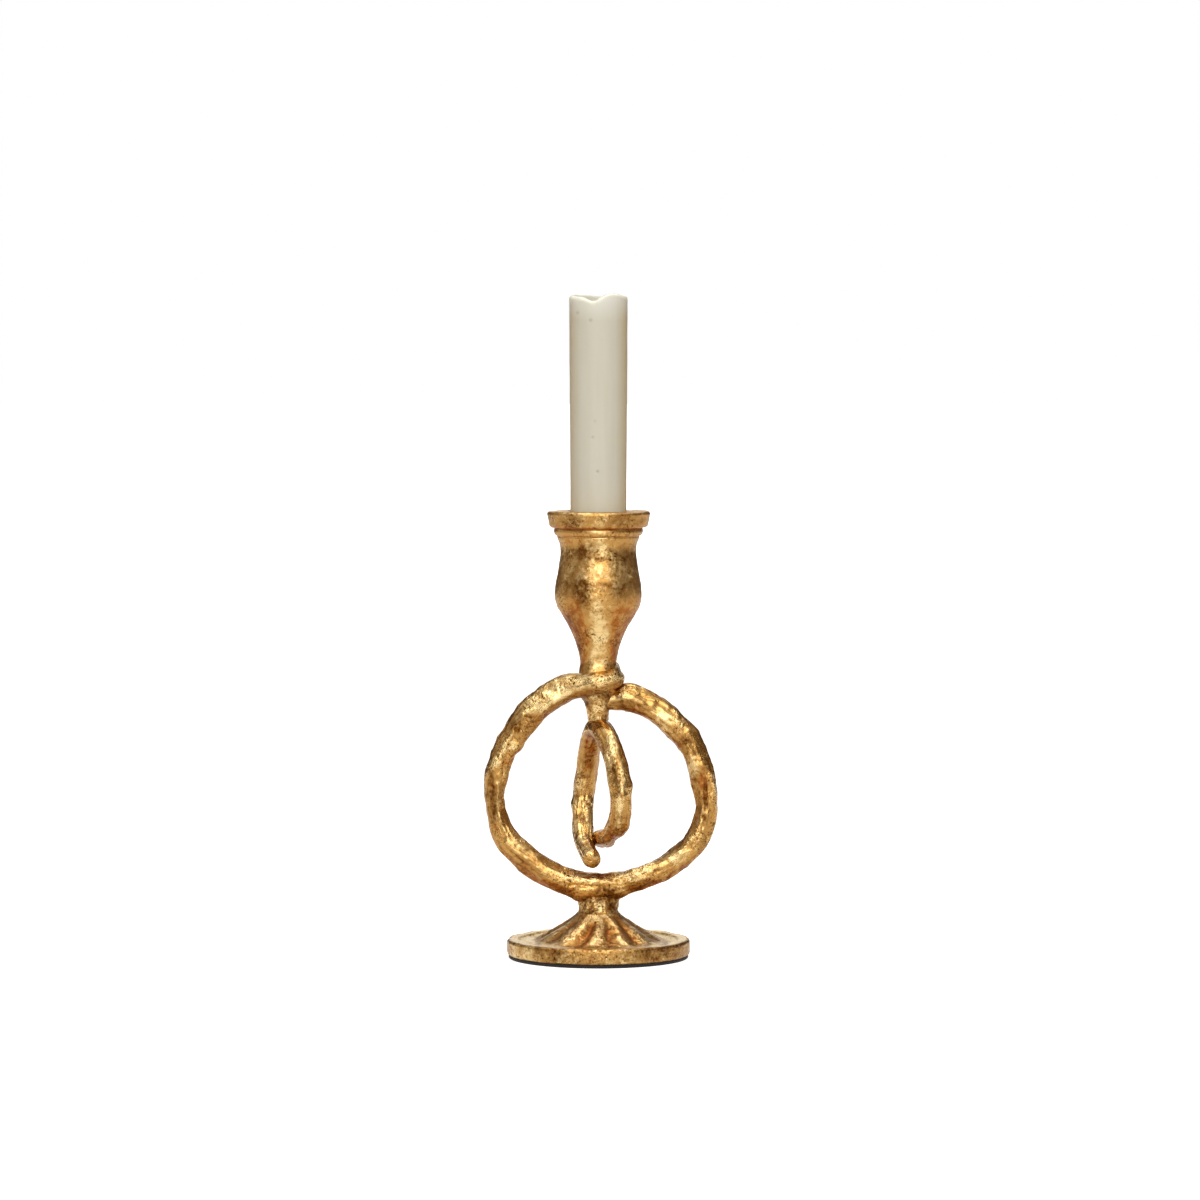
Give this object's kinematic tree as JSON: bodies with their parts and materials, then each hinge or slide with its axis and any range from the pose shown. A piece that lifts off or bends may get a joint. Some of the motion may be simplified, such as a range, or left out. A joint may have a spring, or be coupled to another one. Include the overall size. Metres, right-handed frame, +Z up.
{
  "type": "taper candle holder",
  "caption": "Gilded taper candle holder: a hand-bent ring with a loop inside stands on a round foot and carries a candle cup with a lift-out candle.",
  "frame": {"origin": "centre of the pad's underside, on the surface that the holder stands on", "axes": "+Z up along the stem and the candle; +X to the right across the ring's width; -Y towards the viewer of the pictured front"},
  "size_m": [0.0893, 0.0702, 0.2543],
  "materials": {
    "gilt_metal": "antique gold leaf over cast aluminium",
    "steel": "zinc plated",
    "felt": "matte",
    "wax": "satin",
    "cotton": "matte"
  },
  "bodies": {
    "holder": {"base_pad": "felt", "foot": "gilt_metal", "foot_washer": "steel", "foot_screw": "steel", "neck": "gilt_metal", "ring": "gilt_metal", "loop": "gilt_metal", "drop_boss": "gilt_metal", "cup_stud": "steel", "candle_cup": "gilt_metal"},
    "taper": {"candle": "wax", "wick": "cotton"}
  },
  "joints": [
    {"name": "candle_lift", "type": "slide", "parent": "holder", "child": "taper", "axis": [0, 0, 1], "range_m": [0, 0.045]}
  ]
}
